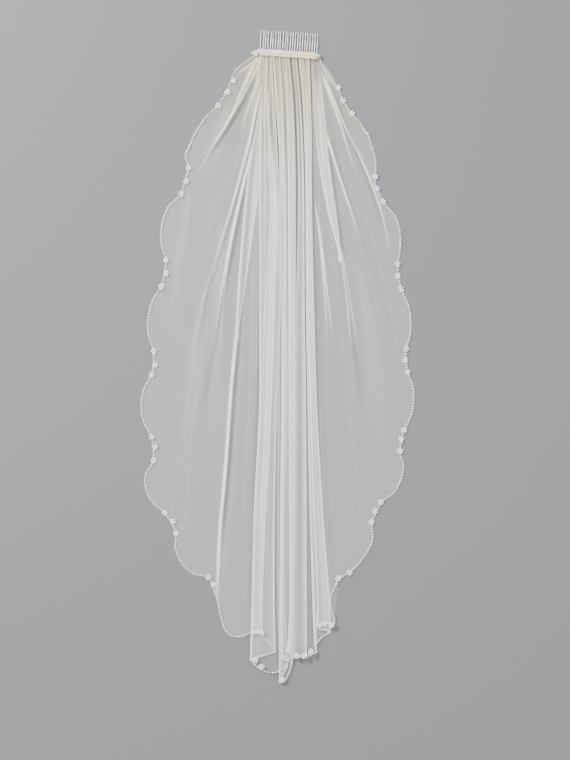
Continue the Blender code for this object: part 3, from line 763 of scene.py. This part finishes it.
# %% Rows and columns of the grids
ROW_COUNT = 260 // COARSE
SHARES = [(i / ROW_COUNT) for i in range(ROW_COUNT + 1)]
SPREAD_COLUMNS = 300 // COARSE


def spread_rows(side):
    """The places of a spread side's points: rim and share, row by row."""
    span = side.last - 1
    rims = [1 + span * i / SPREAD_COLUMNS for i in range(SPREAD_COLUMNS + 1)]
    return [[(rim, share) for rim in rims] for share in SHARES]


FAN_AT_BAND, FAN_AT_RIM = 1.2, 115.0
FAN_SPAN = 3.2
SPREAD_PLIES = 1.3
SPREAD_GATHER = 0.35


def lie_of_spread(side, tucks):
    """How a spread side lies, with its own fan of fine streaks out of the band."""
    fan = streaks_of(BAND_FAN, (side.last - FAN_SPAN, side.last))
    fan += streaks_of(LOOSE_FAN, (1, side.last))
    fan += streaks_of(BROAD_FAN, (2, side.last))

    def lie(place):
        rim, share = place
        point = spread_point(side, rim, share)
        down = SEAM_Y - point.y
        span = FAN_AT_BAND + (FAN_AT_RIM - FAN_AT_BAND) * share
        thick = SPREAD_PLIES + tuck_plies(tucks, point.x, down)
        thick += SPREAD_GATHER * gather_plies(down)
        thick += streak_plies(fan, rim, share, span)
        return point, thick, (point.x * MM, point.y * MM)
    return lie


# %% Left and right spread sides
left_net = laid_cloth("left_net", spread_rows(LEFT), lie_of_spread(LEFT, LEFT_TUCKS))
right_net = laid_cloth("right_net", spread_rows(RIGHT), lie_of_spread(RIGHT, RIGHT_TUCKS))
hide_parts("tulle_left_spread")
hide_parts("tulle_right_spread")

# %% The combed middle, folded back and forth
# How thick each layer shows, from the first to the last, and how bright each fold's line is at
# the band and lower down. Some layers lie in narrow tucks of their own and show as bright bands.
LAYER_PLIES = (0.7, 2.4, 0.5, 1.7, 0.5, 1.6, 0.6, 0.9, 0.6, 9.0, 0.7, 1.2, 0.5, 4.2, 0.8, 3.0, 0.8)
LINES_AT_BAND = (0.3, 0.1, 0.5, 0.0, 0.2, 0.8, 0.1, 0.4, 0.9, 0.2, 0.6, 0.1, 0.7, 0.2, 0.5, 0.1)
LINES_LOWER = (0.9, 0.3, 0.45, 0.6, 0.25, 0.45, 0.15, 1.0, 0.7, 0.9, 0.7, 0.12, 0.5, 0.6, 1.0, 0.5)
LINE_CHANGE = (30, 190)
THIN_START, THIN_RUN = 0.15, 260
FOLD_LINE = 0.9
FOLD_PLIES = 24.0
GLOW_REACH = 3.0
GLOW_PLIES = 1.6
TURN_STEPS = 3
LAYER_SPACING = 1.6 * COARSE
MIDDLE_LAYERS = len(FOLDS) + 1
ACROSS = (0.05, 0.95)
STREAKS = [
    streaks_of(LONG_LINES, ACROSS) + streaks_of(BAND_LINES, ACROSS)
    for _ in range(MIDDLE_LAYERS + 1)
]


def line_strength(number, down):
    """How bright a fold's line is some way down. The cloth's two ends have none."""
    if not 1 <= number <= len(FOLDS):
        return 0.0
    change = ease(*LINE_CHANGE, down)
    return LINES_AT_BAND[number - 1] * (1 - change) + LINES_LOWER[number - 1] * change


def middle_row(share):
    """The points across the combed middle at one share of the way down, with what is on them."""
    edges = [layer_edge(number, share) for number in range(MIDDLE_LAYERS + 1)]
    row, run = [], 0.0
    for layer in range(1, MIDDLE_LAYERS + 1):
        steps = STEPS[layer - 1]
        width = abs(edges[layer][0] - edges[layer - 1][0])
        for i in range(steps + 1):
            across = i / steps
            point = layer_point(layer, across, share, edges)
            down = SEAM_Y - point.y
            shown = THIN_START + (1 - THIN_START) * ease(0, THIN_RUN, down)
            thick = LAYER_PLIES[layer - 1] * shown
            thick += gather_plies(down)
            for number, near in ((layer - 1, across * width), (layer, (1 - across) * width)):
                line = line_strength(number, down)
                thick += line * FOLD_PLIES * math.exp(-(near / FOLD_LINE) ** 2)
                thick += line * GLOW_PLIES * math.exp(-near / GLOW_REACH)
            thick += streak_plies(STREAKS[layer], across, share, width)
            row.append((point, thick, ((run + width * across) * MM, point.y * MM)))
        run += width
        if layer <= len(FOLDS):
            below = layer_point(layer, 1.0, share, edges)
            above = layer_point(layer + 1, 0.0, share, edges)
            half = (above - below) / 2
            for i in range(1, TURN_STEPS):
                turn = math.pi * i / TURN_STEPS
                point = (below + half) - half * math.cos(turn)
                point.x += FOLDS[layer - 1].side * abs(half.z) * math.sin(turn)
                run += abs(half.z)
                thick = 1 + FOLD_PLIES * line_strength(layer, SEAM_Y - point.y)
                row.append((point, thick, (run * MM, point.y * MM)))
    return row


def layer_steps(layer):
    widths = [
        abs(layer_edge(layer, share)[0] - layer_edge(layer - 1, share)[0])
        for share in (0.25, 0.6, 1.0)
    ]
    return max(4, round(max(widths) / LAYER_SPACING))


STEPS = [layer_steps(layer) for layer in range(1, MIDDLE_LAYERS + 1)]
middle_net = laid_cloth("middle_net", [middle_row(share) for share in SHARES],
                        lambda place: place)
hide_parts("tulle_centre_pleats")

# %% [markdown]
# ## Beads
# The whole edge is sewn with small round beads, about four millimetres apart, and at each cusp
# there are three bead flowers. A bead is a low round ball, since there are hundreds of them,
# and all those of one stretch are one mesh.


# %% Bead finish
def bead_finish():
    """White pearl with a thin clear coat."""
    made, _, shader, _ = cloudy_finish("pearl bead", 0.25, 420.0, (1.0, 1.0, 0.99), (0.9, 0.91, 0.92))
    shader.inputs["Coat Weight"].default_value = 0.5
    shader.inputs["Coat Roughness"].default_value = 0.08
    return made


PEARL = bead_finish()
print("bead finish:", PEARL.name)

# %% Many beads as one mesh
BALL_SEGMENTS, BALL_RINGS = 8, 6


def bead_mesh(name, beads, finish):
    """Balls, each with a centre in table units, a radius for each axis and a turn about Z."""
    shape = bmesh.new()
    for centre, radii, turn in beads:
        place = (Matrix.Translation(to_metres(centre)) @ Matrix.Rotation(turn, 4, "Z")
                 @ Matrix.Diagonal((*(radius * MM for radius in radii), 1)))
        bmesh.ops.create_uvsphere(shape, u_segments=BALL_SEGMENTS, v_segments=BALL_RINGS,
                                  radius=1.0, matrix=place)
    for face in shape.faces:
        face.smooth = True
    mesh = mesh_from(shape, name)
    piece = add_piece(name, mesh, finish)
    print(name, len(beads), "beads", len(mesh.polygons), "faces")
    return piece


BEAD_RADIUS, LARGE_RADIUS = 1.45, 2.1
BEAD_SIZES = (0.88, 1.1)
BEAD_PITCH = 4.1
BEAD_LIFT = 0.9
BEAD_JOG = (-0.3, 0.3)


def beads_along(points):
    """Places one pitch apart along a line of points."""
    places, left = [], 0.0
    for start, end in zip(points[:-1], points[1:]):
        length = (end - start).length
        while left <= length:
            places.append(start.lerp(end, left / length))
            left += BEAD_PITCH
        left -= length
    return places


def strung(points, large=()):
    """Small round beads along a line, a little uneven, as sewn ones are, and a few large ones."""
    beads = []
    for place in beads_along(points):
        size = BEAD_RADIUS * random.uniform(*BEAD_SIZES)
        if any(math.dist(place.xy, spot) < BEAD_PITCH / 2 for spot in large):
            size = LARGE_RADIUS
        lift = max(BEAD_LIFT, size - WALL / 2)
        jog = Vector((random.uniform(*BEAD_JOG), random.uniform(*BEAD_JOG), lift))
        beads.append((place + jog, (size, size, size), 0.0))
    return beads


# %% Edging of the spread sides
SHOULDER_STEPS = 40


def edging_line(side, shoulder, last, corner):
    """Where the beads run: down the free edge, along the scallops and round the last corner."""
    line = [Vector(spot) for spot in shoulder]
    for i in range(round((last - 1) * RIM_STEPS) + 1):
        line.append(sewn_edge(side.cusps, 1 + i / RIM_STEPS, 0.0))
    line += [Vector(spot) for spot in corner]
    placed = []
    for x, y in line:
        down = SEAM_Y - y
        height = pile_height(side.layer, x, down) + crease_height(side, x, down)
        placed.append(Vector((x, y, height)))
    return placed


LEFT_SHOULDER = [
    spread_point(LEFT, 1.0, i / SHOULDER_STEPS).xy for i in range(SHOULDER_STEPS)
]
RIGHT_SHOULDER = (
    (61.5, 438.0), (62.3, 434.7), (66.0, 425.4), (70.5, 415.2), (76.7, 401.7), (80.5, 397.5),
    (88.8, 392.6), (96.2, 373.5), (108.8, 354.5),
)
RIGHT_CORNER = (
    (83.0, -341.0), (78.5, -348.5), (77.0, -356.5), (78.0, -368.0), (80.5, -377.0),
    (83.0, -385.0), (83.5, -391.0), (79.0, -397.5), (72.0, -400.5), (65.5, -401.0),
)
left_beads = strung(edging_line(LEFT, LEFT_SHOULDER, LEFT.last, ()), LEFT_LARGE)
right_beads = strung(edging_line(RIGHT, RIGHT_SHOULDER, 7.0, RIGHT_CORNER), RIGHT_LARGE)
bead_mesh("left_edging", left_beads, PEARL)
bead_mesh("right_edging", right_beads, PEARL)

# %% Edging of the folded hem
HEM_STEPS = 14
middle_hem = []
hem_edges = [layer_edge(number, 1.0) for number in range(MIDDLE_LAYERS + 1)]
for hem_layer in range(1, MIDDLE_LAYERS + 1):
    for step in range(HEM_STEPS + 1):
        spot = layer_point(hem_layer, step / HEM_STEPS, 1.0, hem_edges)
        middle_hem.append(spot + Vector((0, EDGE_MARGIN, 0)))
bead_mesh("hem_edging", strung(middle_hem), PEARL)

# %% [markdown]
# ## Bead flowers
# Each flower is six nearly round beads round a domed one, all a little uneven. They are sewn on
# in threes, and the edging runs through them.

# %% Beads of a flower
PETAL_COUNT = 6
PETAL_REACH = 3.3
PETAL_RADII = (1.7, 1.5, 1.2)
PETAL_LIFT = 0.9
PETAL_REACHES, PETAL_SIZES = (0.9, 1.1), (0.85, 1.1)
DOME_RADII = (1.75, 1.75, 1.5)
DOME_LIFT = 1.0


def flower_beads(x, y, base):
    """One flower's beads, turned a little way of its own."""
    turn = random.uniform(0, math.pi)
    beads = [(Vector((x, y, base + DOME_LIFT)), DOME_RADII, 0.0)]
    for i in range(PETAL_COUNT):
        angle = turn + 2 * math.pi * i / PETAL_COUNT
        way = Vector((math.cos(angle), math.sin(angle), 0))
        out = way * PETAL_REACH * random.uniform(*PETAL_REACHES)
        size = random.uniform(*PETAL_SIZES)
        radii = [radius * size for radius in PETAL_RADII]
        beads.append((Vector((x, y, base + PETAL_LIFT)) + out, radii, angle))
    return beads


def flower_piece(name, places):
    """The flowers of one group, on the height at which their plain solid stands."""
    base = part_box(name)[0].z / MM
    beads = []
    for x, y in places:
        beads += flower_beads(x, y, base)
    piece = bead_mesh(name + "_beads", beads, PEARL)
    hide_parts(name)


for label, groups in (("left", LEFT_FLOWERS), ("right", RIGHT_FLOWERS), ("hem", HEM_FLOWERS)):
    for number, places in enumerate(groups, 1):
        flower_piece(f"flowers_{label}_{number}", places)

# %% Small clusters in the folded hem and at the band's left end
HEM_CLUSTERS = ((-35.0, -404.0, 6), (-29.0, -402.5, 6), (-23.0, -404.5, 6), (15.0, -429.5, 11))
CLUSTER_SHRINK = 0.8
KNOT_BEADS = (
    (-29.5, 445.5, 4.4), (-32.0, 443.0, 3.6), (-34.5, 441.5, 2.9), (-30.5, 440.0, 3.4),
    (-36.5, 443.6, 2.6), (-33.0, 446.0, 2.8),
)
KNOT_BEAD = 1.8
cluster_beads = []
for x, y, layer in HEM_CLUSTERS:
    for centre, radii, turn in flower_beads(x, y, pile_height(layer, x, SEAM_Y - y)):
        middle = Vector((x, y, centre.z))
        radii = [radius * CLUSTER_SHRINK for radius in radii]
        cluster_beads.append((middle.lerp(centre, CLUSTER_SHRINK), radii, turn))
for place in KNOT_BEADS:
    cluster_beads.append((Vector(place), (KNOT_BEAD, KNOT_BEAD, KNOT_BEAD), 0.0))
bead_mesh("bead_clusters", cluster_beads, PEARL)

# %% [markdown]
# ## Ribbon binding
# The gathered edge and the comb's spine are wrapped in a narrow satin ribbon. It starts as a
# flat grid that is rolled over the front, puckered a little by its stitches, and then given its
# thickness.


# %% Satin
def satin_finish():
    """Cream satin with a fine ribbed weave."""
    made, tree, shader, places = cloudy_finish(
        "cream satin", 0.42, 260.0, (0.88, 0.78, 0.53), (0.97, 0.90, 0.69))
    weave = node(tree, "ShaderNodeTexWave", bands_direction="X")
    weave.inputs["Scale"].default_value = 900.0
    tree.links.new(places.outputs["Object"], weave.inputs["Vector"])
    add_bump(tree, shader, weave.outputs["Fac"], strength=0.2, distance=0.0001)
    shader.inputs["Sheen Weight"].default_value = 0.4
    return made


SATIN = satin_finish()
print("ribbon finish:", SATIN.name)

# %% Places along the askew band
BAND_ANGLE = -math.atan(BAND_TILT)
BAND_U = Vector((math.cos(BAND_ANGLE), math.sin(BAND_ANGLE), 0))
BAND_V = Vector((-math.sin(BAND_ANGLE), math.cos(BAND_ANGLE), 0))


def band_point(along_band, to_teeth, height):
    """A point by its place along the band, its distance past the seam and its height."""
    return Vector((SEAM_X, SEAM_Y, height)) + BAND_U * along_band + BAND_V * to_teeth


print("the band is", round(math.degrees(BAND_ANGLE), 1), "degrees askew")

# %% Ribbon strips
STITCH_PITCH = 3.1
RIBBON_STEPS = 300
SECTION_STEPS = 16
END_RUN = 5.0
END_TAPER = 0.45
BAND_MIDDLE = 5.0
SLOW_WAVE, BEND, BEND_WAVE = 2.03, 1.7, 0.6
LONG_SIZE, LONG_WAVE = 0.8, 0.41
STITCH_DIP = 0.7
PUCKER_SIDEWAYS, PUCKER_UP = 0.7, 0.4


def pucker_at(u):
    """How far the ribbon leaves its plain form at a place along it: slow waves and stitch dips."""
    return (math.sin(u * SLOW_WAVE + BEND * math.sin(u * BEND_WAVE))
            + LONG_SIZE * math.sin(u * LONG_WAVE)
            - STITCH_DIP * abs(math.sin(u * math.pi / STITCH_PITCH)))


def ribbon_piece(name, section, thickness, length, pucker, solid):
    """A ribbon bent to a section of (distance past the seam, height), puckered along it."""
    marks = [0.0]
    for a, b in zip(section[:-1], section[1:]):
        marks.append(marks[-1] + math.hypot(b[0] - a[0], b[1] - a[1]))
    shape = bmesh.new()
    bmesh.ops.create_grid(shape, x_segments=RIBBON_STEPS, y_segments=SECTION_STEPS, size=0.5)
    for vert in shape.verts:
        u, place = vert.co.x * length, (vert.co.y + 0.5) * marks[-1]
        v = along(marks, [spot[0] for spot in section], place)
        z = along(marks, [spot[1] for spot in section], place)
        rise = pucker * pucker_at(u)
        end = ease(length / 2 - END_RUN, length / 2, abs(u)) * END_TAPER
        v += (BAND_MIDDLE - v) * end
        vert.co = to_metres(band_point(u, v + rise * PUCKER_SIDEWAYS,
                                       z * (1 - end / 2) + rise * PUCKER_UP))
    bmesh.ops.recalc_face_normals(shape, faces=shape.faces)
    if sum(face.normal.z for face in shape.faces) < 0:
        bmesh.ops.reverse_faces(shape, faces=shape.faces)
    bmesh.ops.solidify(shape, geom=shape.faces[:], thickness=thickness * MM)
    bmesh.ops.recalc_face_normals(shape, faces=shape.faces)
    for face in shape.faces:
        face.smooth = True
    mesh = mesh_from(shape, name)
    piece = add_piece(name, mesh, SATIN)
    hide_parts(solid)
    print(name, len(mesh.polygons), "faces")


ribbon_piece("ribbon_back", ((0.0, 0.9), (3.0, 0.9), (6.5, 0.9), (9.4, 0.9)),
             thickness=0.6, length=BAND_LENGTH, pucker=0.0, solid="binding_back")
ribbon_piece("ribbon_roll", ((9.6, 2.9), (9.4, 5.0), (8.2, 7.6), (5.8, 9.7), (3.4, 9.9)),
             thickness=0.7, length=BAND_LENGTH, pucker=0.5, solid="binding_front")
ribbon_piece("ribbon_lip", ((2.9, 9.9), (2.2, 10.7), (1.0, 10.6), (-0.4, 9.6)),
             thickness=0.7, length=BAND_LENGTH - 2, pucker=0.62, solid="binding_lip")

# %% Stitches along the ribbon
STITCH_RADII = (1.5, 0.36, 0.4)
STITCH_MARGIN = 3
Row = namedtuple("Row", "shift to_teeth height turn")
STITCH_ROWS = (Row(0.0, 3.0, 10.35, 68), Row(1.4, 0.0, 9.9, 80))
KNOT_RADII = (2.6, 2.0, 1.7)
KNOT_HEIGHT = 8.0
KNOTS = ((-43.5, 6.6), (-44.5, 3.6), (43.8, 4.6))
stitches = []
for count in range(int((BAND_LENGTH - 2 * STITCH_MARGIN) / STITCH_PITCH)):
    reach = -BAND_LENGTH / 2 + STITCH_MARGIN + count * STITCH_PITCH
    for row in STITCH_ROWS:
        spot = band_point(reach + row.shift, row.to_teeth, row.height)
        stitches.append((spot, STITCH_RADII, BAND_ANGLE + math.radians(row.turn)))
for reach, to_teeth in KNOTS:
    stitches.append((band_point(reach, to_teeth, KNOT_HEIGHT), KNOT_RADII, reach))
bead_mesh("ribbon_stitches", stitches, SATIN)

# %% [markdown]
# ## Wire comb
# One silver wire runs back and forth as the teeth, hooked over a straight wire inside the
# ribbon. A curve with a round bevel makes wire best. It is turned into a mesh at the end, so
# that the piece has its place in its points.


# %% Silver wire
def silver_finish():
    """Silver that mirrors its room a little unevenly."""
    made, _, shader, _ = cloudy_finish(
        "silver wire", 0.46, 90.0, (0.97, 0.97, 0.99), (0.84, 0.76, 0.86))
    shader.inputs["Metallic"].default_value = 1.0
    return made


SILVER = silver_finish()
print("comb finish:", SILVER.name)

# %% The teeth and the spine
TEETH = 24
TOOTH_PITCH = 3.6
WIRE_RADIUS = 0.55
SPINE_RADIUS = 0.9
TOOTH_REACH = 37.6
LEG = ((6.4, 1.85), (13.5, 2.4), (22.5, 3.0), (35.8, 0.95))
LEG_STEPS = 10
BEND_STEPS = 6
LEAN, RIGHT_LEAN = 0.9, 0.25
LEAN_START, LEAN_STEP = 1, 0.9


def comb_route():
    """The one wire, back and forth through its teeth and round its spine."""
    bend = TOOTH_PITCH / 2
    stations = [spot[0] for spot in LEG]
    heights = [spot[1] for spot in LEG]
    points = []
    for tooth in range(TEETH):
        place = (tooth - (TEETH - 1) / 2) * TOOTH_PITCH
        lean = LEAN * (1 if tooth % 2 else -1) * math.sin(LEAN_START + tooth * LEAN_STEP)
        lean *= 1 if tooth < TEETH / 2 else RIGHT_LEAN
        line = []
        for i in range(LEG_STEPS + 1):
            v = stations[0] + (stations[-1] - stations[0]) * i / LEG_STEPS
            shift = lean * (v - stations[0]) / TOOTH_REACH
            line.append((place + shift, v, along(stations, heights, v)))
        points += line if tooth % 2 == 0 else line[::-1]
        if tooth == TEETH - 1:
            break
        at_tip = tooth % 2 == 0
        v, z = LEG[-1] if at_tip else LEG[0]
        way = 1 if at_tip else -1
        shift = lean * (v - stations[0]) / TOOTH_REACH
        for i in range(1, BEND_STEPS):
            turn = math.pi * i / BEND_STEPS
            points.append((place + bend + shift - bend * math.cos(turn),
                           v + way * bend * math.sin(turn), z))
    return [to_metres(band_point(*point)) for point in points]


def wire_piece(name, points, radius, solid):
    """Round wire along a line of points."""
    curve = bpy.data.curves.new(name, "CURVE")
    curve.dimensions = "3D"
    curve.bevel_depth = radius * MM
    curve.bevel_resolution = 3
    curve.use_fill_caps = True
    spline = curve.splines.new("POLY")
    spline.points.add(len(points) - 1)
    for knot, point in zip(spline.points, points):
        knot.co = (*point, 1)
    guide = bpy.data.objects.new(name + "_guide", curve)
    bpy.context.scene.collection.objects.link(guide)
    mesh = bpy.data.meshes.new_from_object(guide)
    bpy.data.objects.remove(guide, do_unlink=True)
    for face in mesh.polygons:
        face.use_smooth = True
    mesh.materials.clear()
    piece = add_piece(name, mesh, SILVER)
    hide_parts(solid)
    print(name, len(mesh.polygons), "faces")


wire_piece("silver_teeth", comb_route(), WIRE_RADIUS, "comb_wire")
SPINE_END, SPINE_PLACE, SPINE_HEIGHT = 43.5, 7.0, 3.6
spine_ends = [
    to_metres(band_point(reach, SPINE_PLACE, SPINE_HEIGHT)) for reach in (-SPINE_END, SPINE_END)
]
wire_piece("silver_spine", spine_ends, SPINE_RADIUS, "comb_spine")
